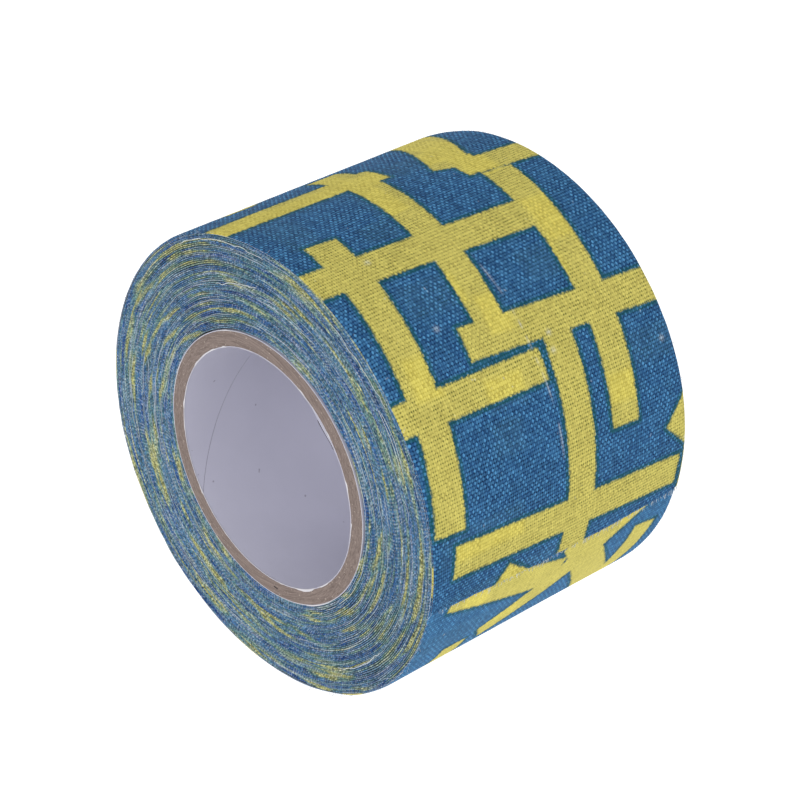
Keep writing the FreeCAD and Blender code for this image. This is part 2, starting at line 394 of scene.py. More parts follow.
def woven_strip(name, first, last, thickness):
    """A stretch of the tape between two unwound angles, with a vertex for every half thread."""
    thread_angle = math.degrees(WEFT_PITCH / ROLL_RADIUS)
    i = np.arange(round(2 * first / thread_angle), round(2 * last / thread_angle) + 1) / 2
    j = np.arange(2 * round(HALF_WIDTH * 2 / WARP_PITCH) + 1) / 2
    ii, jj = np.meshgrid(i, j, indexing="ij")
    unwound = ii * thread_angle
    across = (jj / j[-1] * 2 - 1) * HALF_WIDTH
    # threads wander a little and differ in thickness
    shift_along = 0.16 * wander_2d(unwound, jj, 25, 35, 41) + 0.05 * wander_2d(unwound, jj, 1.7, 60, 42)
    shift_across = 0.10 * wander_2d(unwound, jj, 12, 20, 43) + 0.035 * wander_2d(unwound, jj, 9, 1.0, 44)
    from_rim = HALF_WIDTH - np.abs(across)
    near_edge = smooth_step(from_rim, 0, 1.5)
    thick = 1 + 0.22 * wander_2d(unwound, jj, 14, 1.0, 45) + 0.22 * wander_2d(unwound, jj, 0.9, 30, 46)
    height = weave_height(ii, jj) * thick * smooth_step(from_rim, 0, 0.25)
    moved = across + shift_across * near_edge
    shift_out = np.where(across < 0, -edge_shift(unwound, -1), edge_shift(unwound, 1))
    moved += np.clip(1 - from_rim, 0, 1) * shift_out
    angle = unwound + np.degrees(shift_along / ROLL_RADIUS) * near_edge
    if first == 0:
        pull = 1 - smooth_step(length_at(unwound), 0, 3)
        angle = angle + np.degrees((cut_line(moved) - shift_along * near_edge) / ROLL_RADIUS) * pull
    low = 0.12 * wander_2d(unwound, jj, 18, 45, 47) ** 2
    deep = np.minimum(THREAD_RISE + THREAD_RADIUS - height + low, CLOTH - LEAST_CLOTH)
    top = place(angle, moved, deep)
    by_rim = np.arange(0, 2 * UNDER_STEP, 2)
    under_j = np.unique(np.concatenate([np.arange(0, len(j), 2 * UNDER_STEP), by_rim, len(j) - 1 - by_rim]))
    under = place(angle[:, under_j], moved[:, under_j], thickness)
    points = np.concatenate([top.reshape(-1, 3), under.reshape(-1, 3)])
    rows, start = len(i), len(i) * len(j)
    top_index = np.arange(start).reshape(rows, len(j))
    under_index = start + np.arange(rows * len(under_j)).reshape(rows, len(under_j))
    faces = [grid_quads(rows, len(j)), grid_quads(rows, len(under_j), start, flip=True)]
    for column, turned in ((0, True), (-1, False)):
        a, b = top_index[:, column], under_index[:, column]
        side = np.stack([a[:-1], a[1:], b[1:], b[:-1]], axis=-1)
        faces.append(side[:, ::-1] if turned else side)
    for row, turned in ((0, False), (-1, True)):
        for k, (left, right) in enumerate(zip(under_j[:-1], under_j[1:])):
            ring = np.concatenate([top_index[row, left : right + 1], under_index[row, [k + 1, k]]])
            faces.append((ring[::-1] if turned else ring)[None, :])
    piece = make_mesh(name, points, faces)

    def on_points(values):
        """The values of the grid's points, and again for the underside."""
        return np.concatenate([values.ravel(), values[:, under_j].ravel()])

    all_i, all_j = on_points(ii), on_points(jj)
    upper = np.concatenate([np.ones(start), np.zeros(rows * len(under_j))])
    set_values(piece, "weave", np.stack([all_i, all_j, upper], axis=-1))
    at = corner_points(piece)
    across_map, along_map = all_j[at] / j[-1], (all_i[at] - i[0]) / (i[-1] - i[0])
    on_top = np.arange(len(at)) < 4 * len(faces[0])
    unseen = UNSEEN_SHARE * (0.85 * across_map + 0.1 * upper[at])
    across_map = np.where(on_top, 1 - (1 - UNSEEN_SHARE) * across_map, unseen)
    map_corners(piece, np.stack([along_map, across_map], axis=-1))
    along = length_at(angle)
    shown = print_depth(along, moved)
    second_turn = print_depth(along, moved, SECOND_TURN_BARS)
    below = np.where(along < SECOND_TURN_SPAN, second_turn, print_depth(length_at(angle + 360), moved))
    # painted sheen on this stretch of the cloth
    painted_sheen = smooth_step(unwound, *SHEEN_FADE_IN) * (1 - smooth_step(unwound, *SHEEN_FADE_OUT))
    fields = {"print": shown, "below": below, "slub": slub_mask(along, moved), "painted_sheen": painted_sheen}
    for label, values in fields.items():
        set_values(piece, label, on_points(values))
    return piece


END_MAP_SCALE = 0.28  # of each end face in the winding's UV map
END_MAP_SHIFT = 0.21  # how far each end's centre lies from the middle of the map, both ways


def winding_strip(name, first, last, per_turn):
    """The tape under the outer turn, as one strip that runs to the core, with its two cut edges modelled."""
    unwound = np.linspace(first, last, round((last - first) / 360 * per_turn) + 1)
    along = length_at(unwound)
    waves = ripple(unwound)
    points, sides, rises = [], [], []
    for side in (-1, 1):
        seed = 51 if side < 0 else 52
        edge = side * (HALF_WIDTH + edge_shift(unwound, side))
        fat = 0.03 * wander(along, 2.1, seed)
        ragged = 0.05 * wander(along, 0.9, seed + 5)
        # depth below the face, distance in from the edge, and 1 where the cut threads stand out
        ring = [(0.0, 0.17, 0), (0.045 - fat, ragged, 1), (0.15 + fat, 0.01 - ragged, 1), (0.23, 0.21, 0)]
        for depth, inset, rise in ring if side < 0 else ring[::-1]:
            point = place(unwound, side * HALF_WIDTH, depth + waves)
            point[:, 1] = edge - side * inset
            points.append(point)
            sides.append(side)
            rises.append(rise)
    points = np.stack(points, axis=1)
    piece = tube(name, points)
    turns = unwound[:, None] / 360 + 30 * np.array(sides)
    strand = np.broadcast_arrays(along[:, None], turns, np.array(rises))
    set_values(piece, "strand", np.stack(strand, axis=-1).reshape(-1, 3))
    set_values(piece, "print", np.stack([edge_print(unwound, side) for side in sides], axis=-1).ravel())
    # the UV map shows the two ends of the roll side on, in opposite corners, with the unseen faces in a third
    (stations, corners), at = points.shape[:2], corner_points(piece)
    points = points.reshape(-1, 3)[at]
    back = np.where(points[:, 1] > 0, 1, -1)
    ends = points[:, [0, 2]] / ROLL_RADIUS * END_MAP_SCALE + (0.5 + END_MAP_SHIFT * back)[:, None]
    unseen = np.stack([0.06 + 0.03 * back, 0.7 + 0.25 * (at // corners) / stations], axis=-1)
    between_ends = np.arange(len(at)) // 4 % (corners // 2) == corners // 2 - 1
    map_corners(piece, np.where(between_ends[:, None], unseen, ends))
    return piece


GLUE_INSET = 0.3  # how far the adhesive stops short of the tape's edges
GLUE_GAP = 0.012  # how far it stays clear of the turn below


def adhesive_sheet(name, first, last):
    """The tacky layer on the tail's inner side, puckered where it was pulled off the turn below."""
    unwound = np.linspace(first, last, 320)
    across = np.linspace(-HALF_WIDTH + GLUE_INSET, HALF_WIDTH - GLUE_INSET, 120)
    uu, vv = np.meshgrid(unwound, across, indexing="ij")
    pucker = 0.008 * wander_2d(uu, vv + 30, 1.2, 1.5, 61)
    start = cut_line(vv) + 0.25
    angle = uu + np.degrees(start / ROLL_RADIUS) * (1 - smooth_step(uu, 0, 4))
    return thin_sheet(name, place(angle, vv, CLOTH), place(angle, vv, TAPE - GLUE_GAP + pucker))


def fibres(name, threads):
    """Thin threads, each a three-sided tube along its own path, with a radius and a tint."""
    points, faces, tints, first = [], [], [], 0
    for path, radius, tint in threads:
        count = len(path)
        run = np.gradient(path, axis=0)
        run /= np.linalg.norm(run, axis=1)[:, None]
        side = np.cross(run, [0.31, 0.55, 0.77])
        side /= np.linalg.norm(side, axis=1)[:, None]
        other = np.cross(run, side)
        taper = np.minimum(1, np.minimum(np.arange(count) + 1, count - np.arange(count)) / 2.0)[:, None]
        for turn in range(3):
            angle = turn * 2 * math.pi / 3
            points.append(path + radius * taper * (side * math.cos(angle) + other * math.sin(angle)))
        for turn in range(3):
            a = first + turn * count + np.arange(count - 1)
            b = first + (turn + 1) % 3 * count + np.arange(count - 1)
            faces.append(np.stack([a, a + 1, b + 1, b], axis=-1))
        faces.append(np.array([[first, first + count, first + 2 * count]]))
        end = first + count - 1
        faces.append(np.array([[end + 2 * count, end + count, end]]))
        tints += [tint] * (3 * count)
        first += 3 * count
    quads = np.concatenate([f for f in faces if f.shape[1] == 4])
    triangles = np.concatenate([f for f in faces if f.shape[1] == 3])
    piece = make_mesh(name, np.concatenate(points), [quads, triangles])
    set_values(piece, "tint", tints)
    return piece


# ---- materials


def rgb(red, green, blue):
    """A linear colour from sRGB values up to 255."""
    parts = [c / 255 for c in (red, green, blue)]
    return tuple(c / 12.92 if c <= 0.04045 else ((c + 0.055) / 1.055) ** 2.4 for c in parts) + (1.0,)


class Look:
    """A material whose nodes are added one call at a time. A value is a number, a colour or a socket."""

    def __init__(self, name, roughness=0.8, sheen=0.0, specular=0.3):
        self.material = bpy.data.materials.new(name)
        self.material.use_nodes = True
        self.tree = self.material.node_tree
        self.shader = self.tree.nodes["Principled BSDF"]
        self.shader.inputs["Roughness"].default_value = roughness
        self.shader.inputs["Sheen Weight"].default_value = sheen
        self.shader.inputs["Sheen Roughness"].default_value = 0.45
        self.shader.inputs["Specular IOR Level"].default_value = specular

    def node(self, kind, inputs=None, **settings):
        made = self.tree.nodes.new("ShaderNode" + kind)
        for name, value in settings.items():
            setattr(made, name, value)
        for name, value in (inputs or {}).items():
            self.put(made.inputs[name], value)
        return made

    def put(self, socket, value):
        if isinstance(value, bpy.types.NodeSocket):
            self.tree.links.new(value, socket)
        else:
            socket.default_value = value

    def shade(self, name, value):
        self.put(self.shader.inputs[name], value)

    def math(self, operation, *values):
        return self.node("Math", dict(enumerate(values)), operation=operation).outputs[0]

    def times(self, first, second):
        return self.math("MULTIPLY", first, second)

    def plus(self, first, second):
        return self.math("ADD", first, second)

    def minus(self, first, second):
        return self.math("SUBTRACT", first, second)

    def length(self, x, y):
        return self.math("SQRT", self.plus(self.times(x, x), self.times(y, y)))

    def ramp(self, value, low, high, to_low=0.0, to_high=1.0):
        """A smooth step from one value to another as the input goes from low to high."""
        inputs = {"Value": value, "From Min": low, "From Max": high, "To Min": to_low, "To Max": to_high}
        return self.node("MapRange", inputs, interpolation_type="SMOOTHSTEP").outputs[0]

    def mix(self, factor, first, second, blend="MIX"):
        made = self.node("Mix", data_type="RGBA", blend_type=blend)
        for slot, value in ((0, factor), (6, first), (7, second)):
            self.put(made.inputs[slot], value)
        return made.outputs[2]

    def shaded(self, colour, factor):
        """A colour made darker or lighter by a number."""
        return self.mix(1.0, colour, self.together(factor, factor, factor), "MULTIPLY")

    def blend(self, factor, first, second):
        """A mix of two numbers."""
        made = self.node("Mix", data_type="FLOAT")
        for slot, value in ((0, factor), (2, first), (3, second)):
            self.put(made.inputs[slot], value)
        return made.outputs[0]

    def vectors(self, operation, *values):
        return self.node("VectorMath", dict(enumerate(values)), operation=operation).outputs[0]

    def here(self):
        """The place on the piece, in metres."""
        return self.node("TexCoord").outputs["Object"]

    def attribute(self, name, output="Fac"):
        return self.node("Attribute", attribute_name=name).outputs[output]

    def noise(self, vector, scale, detail=2.0, roughness=0.5):
        inputs = {"Vector": vector, "Scale": scale, "Detail": detail, "Roughness": roughness}
        return self.node("TexNoise", inputs).outputs["Fac"]

    def random(self, vector):
        return self.node("TexWhiteNoise", {"Vector": vector}).outputs["Value"]

    def apart(self, vector):
        return self.node("SeparateXYZ", {"Vector": vector}).outputs

    def together(self, x, y, z=0.0):
        return self.node("CombineXYZ", {"X": x, "Y": y, "Z": z}).outputs[0]

    def bump(self, height, distance, strength=1.0):
        inputs = {"Height": height, "Distance": distance, "Strength": strength}
        self.shade("Normal", self.node("Bump", inputs).outputs[0])


# DEEP_BLUE is the blue turn below seen through a hole, with painted shade
DEEP_BLUE = rgb(6, 26, 58)
HALO = rgb(22, 76, 80)
UNDYED = rgb(206, 212, 214)


def cloth_look():
    look = Look("printed_cloth", sheen=0.03, specular=0.06)
    place_in_weave = look.attribute("weave", "Vector")
    i, j, upper = look.apart(place_in_weave)
    cell_i, cell_j = look.math("FLOOR", i), look.math("FLOOR", j)
    near_i, near_j = look.math("PINGPONG", i, 0.5), look.math("PINGPONG", j, 0.5)

    def thread(across_it, own_cell, other_place, sign):
        """The height of one set of threads: round in section, and over and under the other set."""
        off = look.minus(1.0, look.times(across_it, 2.0))
        body = look.math("SQRT", look.minus(1.0, look.times(off, off)))
        odd = look.times(look.math("PINGPONG", own_cell, 1.0), -2.0)
        swing = look.math("SINE", look.times(other_place, math.pi))
        swing = look.times(look.plus(odd, 1.0), swing)
        return look.plus(body, look.times(swing, sign * THREAD_RISE / THREAD_RADIUS))

    warp = thread(near_j, cell_j, i, 1.0)
    weft = thread(near_i, cell_i, j, -1.0)
    height = look.math("MAXIMUM", warp, weft)
    warp_over = look.ramp(look.minus(warp, weft), -0.3, 0.3)

    crossing = look.random(look.together(cell_i, cell_j))
    corner_i, corner_j = (look.math("FLOOR", look.plus(count, 0.5)) for count in (i, j))
    corner = look.random(look.together(corner_i, corner_j, 7.0))
    lint = look.noise(place_in_weave, 1.7, 3.0, 0.7)
    cloud = look.noise(place_in_weave, 0.06, 2.0)
    warp_tone = look.noise(look.together(look.times(i, 0.11), look.times(cell_j, 7.3)), 1.0)
    weft_tone = look.noise(look.together(look.times(cell_i, 5.7), look.times(j, 0.08)), 1.0)
    tone = look.blend(warp_over, look.math("MULTIPLY_ADD", weft_tone, 0.7, 0.15), warp_tone)
    frayed = look.minus(lint, 0.5)

    jitter = look.times(look.minus(crossing, 0.5), 0.16)
    ragged = look.plus(jitter, look.times(frayed, 0.3))
    depth = look.plus(look.attribute("print"), ragged)
    printed = look.ramp(depth, -0.1, 0.12)
    halo = look.ramp(look.math("ABSOLUTE", look.plus(depth, 0.18)), 0.6, 0.2)
    below = look.ramp(look.attribute("below"), -0.7, 0.7)

    # the open corners between threads show the turn below, darkened further with painted shade of the hole
    hole_i, hole_j = look.times(near_i, 1.2), look.times(near_j, 0.95)
    from_hole = look.length(hole_i, hole_j)
    hole_size = look.plus(look.ramp(cloud, 0.3, 0.7, 0.22, 0.34), look.times(frayed, 0.35))
    hole = look.ramp(look.minus(from_hole, hole_size), 0.14, -0.12)
    hole = look.times(hole, look.ramp(corner, 0.0, 1.0, 0.1, 1.0))
    painted_sheen = look.attribute("painted_sheen")  # painted sheen: the weave is paler there, with weaker holes and crests
    hole = look.times(hole, look.math("MULTIPLY_ADD", painted_sheen, -0.6, 1.0))

    # painted shade where the threads dip and painted highlight on their crests; no two crossings are alike
    crest_highlight = look.times(look.ramp(near_i, 0.0, 0.34, 0.52, 1.0), look.ramp(near_j, 0.0, 0.3, 0.62, 1.0))
    crest_highlight = look.times(crest_highlight, look.ramp(warp_over, 0.0, 1.0, 0.5, 1.0))
    crest_highlight = look.times(crest_highlight, look.ramp(crossing, 0.0, 1.0, 0.5, 1.15))
    crest_highlight = look.times(crest_highlight, look.ramp(lint, 0.3, 0.7, 0.7, 1.2))
    crest_highlight = look.blend(look.times(painted_sheen, 0.3), crest_highlight, 0.85)
    flat = look.ramp(crest_highlight, 0.0, 0.5)
    blue = look.mix(crest_highlight, rgb(4, 40, 88), rgb(76, 134, 178))
    yellow = look.mix(flat, rgb(164, 150, 66), rgb(208, 196, 98))
    yellow = look.mix(look.times(look.minus(1.0, below), 0.3), yellow, rgb(166, 160, 100))
    blue = look.mix(look.times(below, 0.08), blue, rgb(80, 106, 100))
    blue_hole = look.mix(below, DEEP_BLUE, rgb(26, 58, 72))
    yellow_hole = look.mix(below, rgb(112, 112, 54), rgb(186, 172, 76))
    blue = look.mix(look.times(hole, 0.85), blue, blue_hole)
    yellow = look.mix(hole, yellow, yellow_hole)
    colour = look.mix(printed, blue, yellow)
    halo = look.times(halo, look.ramp(crest_highlight, 0.0, 1.0, 0.85, 0.35))
    colour = look.mix(halo, colour, HALO)

    # threads differ in tone, and a few crests have pale lint on them
    shade_of_thread = look.ramp(tone, 0.3, 0.7, 0.78, 1.22)
    shade_of_thread = look.blend(look.times(printed, 0.4), shade_of_thread, 1.0)
    shade_of_thread = look.times(shade_of_thread, look.math("MULTIPLY_ADD", painted_sheen, 0.04, 1.0))
    colour = look.shaded(colour, shade_of_thread)
    nub = look.ramp(look.noise(place_in_weave, 0.45, 1.0), 0.76, 0.84)
    undyed = look.plus(look.times(nub, 0.4), look.attribute("slub"))
    pale = look.times(undyed, look.ramp(height, 0.4, 1.6))
    colour = look.mix(look.math("MINIMUM", pale, 0.7), colour, UNDYED)
    reverse = look.mix(0.55, colour, UNDYED)
    colour = look.mix(look.ramp(upper, 0.2, 0.6), reverse, colour)
    look.shade("Base Color", colour)
    look.shade("Roughness", look.ramp(lint, 0.3, 0.7, 0.78, 0.95))
    look.bump(look.plus(height, look.times(frayed, 0.5)), THREAD_RADIUS * MM, 0.6)
    return look.material


def axis_place(look):
    """The distance from the roll's axis, the place along it and the direction from it."""
    x, y, z = look.apart(look.here())
    radius = look.length(x, z)
    return radius, y, look.vectors("NORMALIZE", look.together(x, 0.0, z))


def winding_look():
    look = Look("cut_edges", sheen=0.05, specular=0.08)
    along, turn, rise = look.apart(look.attribute("strand", "Vector"))
    radius, y, direction = axis_place(look)
    side = look.math("SIGN", y)
    end_x, _, end_z = look.apart(direction)

    def band(places, turns, shift):
        """Noise on an end face, in arcs that are some turns of tape thick."""
        out = look.plus(look.times(radius, 1 / (turns * PITCH * MM)), look.times(side, shift))
        arc = look.together(look.times(end_x, places), out, look.times(end_z, places))
        return look.noise(arc, 1.0, 2.0, 0.55)

    broad = band(3.2, 2.6, 11.0)
    green = band(4.5, 1.7, 31.0)
    own_place = look.together(look.times(along, 0.07), look.times(turn, 5.3))
    own = look.noise(own_place, 1.0, 2.0, 0.6)
    grain = look.noise(look.together(look.times(along, 2.6), look.times(turn, 9.1)), 1.0, 2.0)

    # the cut ends of the threads that run across the tape are paler marks in each edge
    count = look.math("DIVIDE", along, WEFT_PITCH)
    odd_turn = look.times(look.math("FLOOR", turn), 3.7)
    chance = look.random(look.together(look.math("FLOOR", count), odd_turn))
    mark = look.times(look.ramp(look.math("PINGPONG", count, 0.5), 0.05, 0.45), look.ramp(chance, 0.0, 1.0))

    depth = look.plus(look.attribute("print"), look.times(look.minus(grain, 0.5), 0.3))
    tinged = look.times(look.ramp(green, 0.42, 0.66), 0.6)
    tinged = look.math("MAXIMUM", tinged, look.ramp(depth, -0.5, -0.05))
    printed = look.ramp(depth, -0.2, 0.25)
    blue = look.mix(look.ramp(broad, 0.32, 0.68), rgb(30, 77, 142), rgb(82, 127, 168))
    colour = look.mix(tinged, blue, rgb(98, 138, 132))
    yellow = look.mix(look.ramp(grain, 0.3, 0.7), rgb(150, 152, 92), rgb(188, 184, 112))
    colour = look.mix(look.times(printed, 0.9), colour, yellow)
    pale = look.times(look.ramp(own, 0.52, 0.72), 0.4)
    pale = look.plus(pale, look.times(mark, 0.36))
    colour = look.mix(look.math("MINIMUM", pale, 0.8), colour, UNDYED)
    colour = look.shaded(colour, look.ramp(grain, 0.3, 0.7, 0.36, 1.14))
    # painted shade in the grooves between turns, beside each cut edge
    colour = look.mix(look.ramp(rise, 0.0, 0.8, 0.4, 0.0), colour, rgb(34, 66, 96))
    look.shade("Base Color", colour)
    look.bump(look.plus(grain, mark), 0.05 * MM, 0.7)
    return look.material


def fibre_look():
    look = Look("loose_threads", sheen=0.4, specular=0.2)
    tint = look.attribute("tint")
    colour = look.mix(look.ramp(tint, 0.2, 0.6), UNDYED, rgb(88, 128, 162))
    colour = look.mix(look.ramp(tint, 0.8, 0.9), colour, rgb(210, 202, 120))
    fluff = look.noise(look.here(), 4000.0)
    look.shade("Base Color", look.mix(look.times(fluff, 0.3), colour, rgb(150, 160, 170)))
    look.bump(fluff, 0.02 * MM)
    return look.material


def adhesive_look():
    look = Look("tape_adhesive", roughness=0.35, specular=0.5)
    here = look.here()
    blotch = look.noise(here, 260.0, 4.0)
    speck = look.noise(here, 1800.0, 3.0)
    look.shade("Base Color", look.mix(look.ramp(blotch, 0.35, 0.65), rgb(204, 204, 190), rgb(226, 224, 210)))
    look.shade("Roughness", look.ramp(speck, 0.3, 0.7, 0.25, 0.5))
    look.bump(speck, 0.03 * MM, 0.5)
    return look.material


def round_axis(look, round_scale, through_scale, along_scale):
    """A place that runs round the roll, through the board and along the axis, each with its own scale."""
    radius, y, direction = axis_place(look)
    direction = look.vectors("MULTIPLY", direction, (round_scale, 0.0, round_scale))
    depth = look.together(look.times(radius, through_scale), look.times(y, along_scale), 0.0)
    return look.vectors("ADD", direction, depth)


def kraft_look():
    look = Look("kraft_board", roughness=0.9, specular=0.2)
    fibre_place = round_axis(look, 26.0, 9000.0, 700.0)
    strands = look.noise(fibre_place, 1.0, 4.0, 0.65)
    flecks = look.noise(look.here(), 2600.0, 2.0)
    colour = look.mix(look.ramp(strands, 0.3, 0.7), rgb(100, 88, 83), rgb(133, 119, 113))
    colour = look.mix(look.ramp(flecks, 0.62, 0.75), colour, rgb(172, 160, 150))
    colour = look.mix(look.ramp(flecks, 0.36, 0.26), colour, rgb(86, 72, 62))
    look.shade("Base Color", colour)
    look.bump(strands, 0.06 * MM, 0.7)
    return look.material


def paper_look(name, dark, light):
    look = Look(name, roughness=0.75, specular=0.2)
    here = look.here()
    cloud = look.noise(here, 120.0, 4.0)
    tooth = look.noise(here, 2500.0, 3.0)
    speck = look.noise(here, 1000.0, 0.0)
    colour = look.mix(look.ramp(cloud, 0.3, 0.7), dark, light)
    colour = look.mix(look.ramp(tooth, 0.68, 0.8, 0.0, 0.5), colour, rgb(172, 170, 182))
    colour = look.mix(look.ramp(speck, 0.845, 0.875), colour, rgb(148, 145, 158))
    look.shade("Base Color", colour)
    look.bump(tooth, 0.02 * MM, 0.5)
    return look.material


# ---- the tape

cloth = cloth_look()


def finish_piece(piece, material, body="roll"):
    piece.data.materials.append(material)
    if body == "tail":
        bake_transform(piece)
    else:
        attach(piece, body)
    return piece


# The unwound angles between which each sheet lies.
TAIL_SPAN = (0, 130)
GLUE_SPAN = (0, 60)
SECOND_SPAN = (130, 265)
THIRD_SPAN = (265, 400)
INNER_SPAN = (400, 360 * TURNS)
STATIONS_PER_TURN = 230

tail_cloth = finish_piece(woven_strip("tail_cloth_strip", *TAIL_SPAN, CLOTH), cloth, body="tail")
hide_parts("tail_cloth")
tail_glue = adhesive_sheet("tail_adhesive_sheet", *GLUE_SPAN)
finish_piece(tail_glue, adhesive_look(), "tail")
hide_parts("tail_adhesive")
for label, span in (("outer_turn_far_side", SECOND_SPAN), ("outer_turn_underside", THIRD_SPAN)):
    piece = finish_piece(woven_strip(label, *span, TAPE), cloth)
    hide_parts("outer_turn_cloth", "outer_turn_adhesive")
winding = winding_strip("wound_tape_edges", *INNER_SPAN, STATIONS_PER_TURN)
finish_piece(winding, winding_look())
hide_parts("tape_winding")

# ---- loose threads


def edge_thread(rng, unwound, side, length):
    """A thread that has come loose from a cut edge and lies along it."""
    share = np.linspace(0, 1, 5 + int(length))
    turned = unwound + np.degrees(length / radius_at(unwound)) * share
    phase = rng.uniform(0, 7, 2)
    radial = 0.06 * np.sin(share * length * 1.1 + phase[0]) + rng.normal(0, 0.04)
    path = place(turned, side * HALF_WIDTH, 0.1 - radial + ripple(turned))
    lift = 0.02 + 0.05 * np.sin(share * length * 0.8 + phase[1])
    lift = lift + 0.5 * rng.uniform(0, 1) ** 3 * (2 * share - 1) ** 4
    path[:, 1] = side * (HALF_WIDTH + edge_shift(turned, side) + lift)
    return path


def stray_fibre(rng, root, out, along, length):
    """A short curved fibre that stands out from a cut edge."""
    share = np.linspace(0, 1, 5)[:, None]
    bend = np.cross(out, along) * rng.normal(0, 0.5) + along * rng.normal(0, 0.8)
    return root + length * (share * out + share * share * bend)


# Long selvage threads that stand off the front end: from and to an angle, then the radius at each.
LONG_THREADS = [(121, 88, 34.75, 34.5), (110, 91, 28.1, 29.3), (64, 40, 33.6, 33.9), (300, 322, 31.0, 31.3)]
LONG_THREAD_RADIUS = 0.055
THREADS_PER_END = 150
RIM_FIBRES, TAIL_FIBRES, FRAY_FIBRES = 500, 70, 150


def long_thread(first, last, first_radius, last_radius, seed):
    share = np.linspace(0, 1, 2 * abs(first - last))
    counted = share * abs(first - last)
    zigzag = 0.28 * wander(counted, 3.6, seed) + 0.12 * wander(counted, 1.5, seed + 1)
    radius = first_radius + (last_radius - first_radius) * share + zigzag
    out = -HALF_WIDTH - 0.05 - 0.12 * np.abs(wander(counted, 2.8, seed + 2))
    return about_axis(radius, first + (last - first) * share, out)


def end_threads():
    rng = np.random.default_rng(81)
    threads = [(long_thread(*ends, 85 + n), LONG_THREAD_RADIUS, 0.0) for n, ends in enumerate(LONG_THREADS)]
    for side in (-1, 1):
        for _ in range(THREADS_PER_END):
            unwound = rng.uniform(420, 360 * TURNS - 100)
            path = edge_thread(rng, unwound, side, rng.uniform(3.0, 20.0))
            threads.append((path, rng.uniform(0.02, 0.035), rng.choice([0.1, 0.3, 0.4, 0.5, 0.7])))
    return fibres("loose_edge_threads", threads)


def rim_fuzz(name, first, last, count, seed):
    """Short fibres all round both rims, between two unwound angles. None reaches down to the floor."""
    rng = np.random.default_rng(seed)
    threads = []
    for _ in range(count):
        side = rng.choice([-1, 1])
        unwound = rng.uniform(first, last)
        root = place(unwound, side * HALF_WIDTH, 0.05)
        root[1] += side * edge_shift(unwound, side)
        angle = math.radians(CUT_ANGLE + unwound)
        radial = np.array([math.cos(angle), 0, math.sin(angle)])
        along = np.array([-math.sin(angle), 0, math.cos(angle)])
        lean = rng.uniform(-0.4, 1.1)
        out = radial * math.sin(lean) * 0.9 + np.array([0, side * math.cos(lean), 0])
        out = out + along * rng.normal(0, 0.5)
        length = rng.uniform(0.25, 1.0) ** 1.5 * 1.2 + (rng.uniform(0, 1) > 0.985) * 1.4
        path = stray_fibre(rng, root, out / np.linalg.norm(out), along, length)
        if path[:, 2].min() > FLOOR_Z + 0.05:
            threads.append((path, rng.uniform(0.01, 0.018), rng.choice([0.0, 0.2, 0.4, 0.6])))
    return fibres(name, threads)


def cut_end_fray():
    """Ends of the threads that run round the roll, loose beyond the cut."""
    rng = np.random.default_rng(84)
    threads = []
    for _ in range(FRAY_FIBRES):
        across = rng.uniform(-HALF_WIDTH + 0.3, HALF_WIDTH - 0.3)
        start = cut_line(across)
        length = rng.uniform(0.3, 1.2)
        share = np.linspace(0, 1, 5)
        along = start + 0.3 - share * length
        sideways = across + share * share * rng.normal(0, 0.25)
        lift = 0.06 - 0.05 * share + rng.uniform(0, 0.2) * share * share
        path = place(np.degrees(along / ROLL_RADIUS), sideways, -lift + 0.02)
        threads.append((path, rng.uniform(0.02, 0.04), rng.choice([0.0, 0.2, 0.5])))
    return fibres("cut_end_fray", threads)


loose = fibre_look()
finish_piece(end_threads(), loose)
finish_piece(rim_fuzz("rim_fuzz", TAIL_ARC + 8, 360, RIM_FIBRES, 82), loose)
finish_piece(rim_fuzz("tail_rim_fuzz", 0, TAIL_ARC + 6, TAIL_FIBRES, 83), loose, body="tail")
finish_piece(cut_end_fray(), loose, body="tail")

# ---- the core

kraft = kraft_look()
# the white liner paper is greyed and tinted lavender as painted shade of the bore
paper = paper_look("liner_paper", rgb(178, 177, 192), rgb(181, 180, 195))
for label, node in frame["nodes"].items():
    if label.startswith("core_"):
        surface = kraft if "kraft" in label else paper
        node.data.materials.clear()
        node.data.materials.append(surface)
        for slot in node.material_slots:
            slot.material = surface


def paper_burr(name, side, radius, reach, seed):
    """The torn edge of a liner, which curls over the end of the board as a thin ragged rim."""
    counted = np.arange(0, 360, 0.5)
    torn = 0.1 + 0.5 * around(counted, 80, 1, seed) + 0.6 * around(counted, 23, 1, seed + 1)
    height = -0.03 + reach * np.clip(torn, 0, 1) ** 1.4
    lift = 0.02 + 0.05 * np.clip(around(counted, 60, 1, seed + 2), 0, 1)
    corners = ((-0.04, -0.08), (height, -0.01), (height, lift), (-0.04, lift))
    section = [about_axis(radius + away, counted, side * (HALF_WIDTH + out)) for away, out in corners]
    return tube(name, np.stack(section if side < 0 else section[::-1], axis=1), closed=True)


SEAM_FROM, SEAM_TO = -0.03, 0.15  # the filling's two sides, along the axis
SEAM_DEPTH = 0.085


def bore_seam():
    """A shallow floor in the butt seam of the inner liner, sunk deepest near the front of the bore; its
    darker paper is painted shade of the seam.
    """
    y = np.linspace(-HALF_WIDTH + 0.02, HALF_WIDTH - 0.02, 400)
    degrees = SEAM_ANGLE - 360 * y / SEAM_LEAD
    sunk = 0.008 + 0.012 * smooth_step(y, -25, -19) * (1 - smooth_step(y, -16, 8))
    corners = ((SEAM_FROM, sunk), (SEAM_TO, sunk), (SEAM_TO, SEAM_DEPTH), (SEAM_FROM, SEAM_DEPTH))
    section = [about_axis(BORE_RADIUS + depth, degrees, y + beside) for beside, depth in corners]
    return tube("bore_seam_filling", np.stack(section, axis=1), flip=True)


FLAP_START, FLAP_END = 26, 58  # angles of the stretch of liner that has come off the board
FLAP_WIDTH = 1.83
FLAP_LIFT = 0.5
FLAP_DEPTHS = (0.012, -0.055)  # its two faces, counted from the bore towards the axis


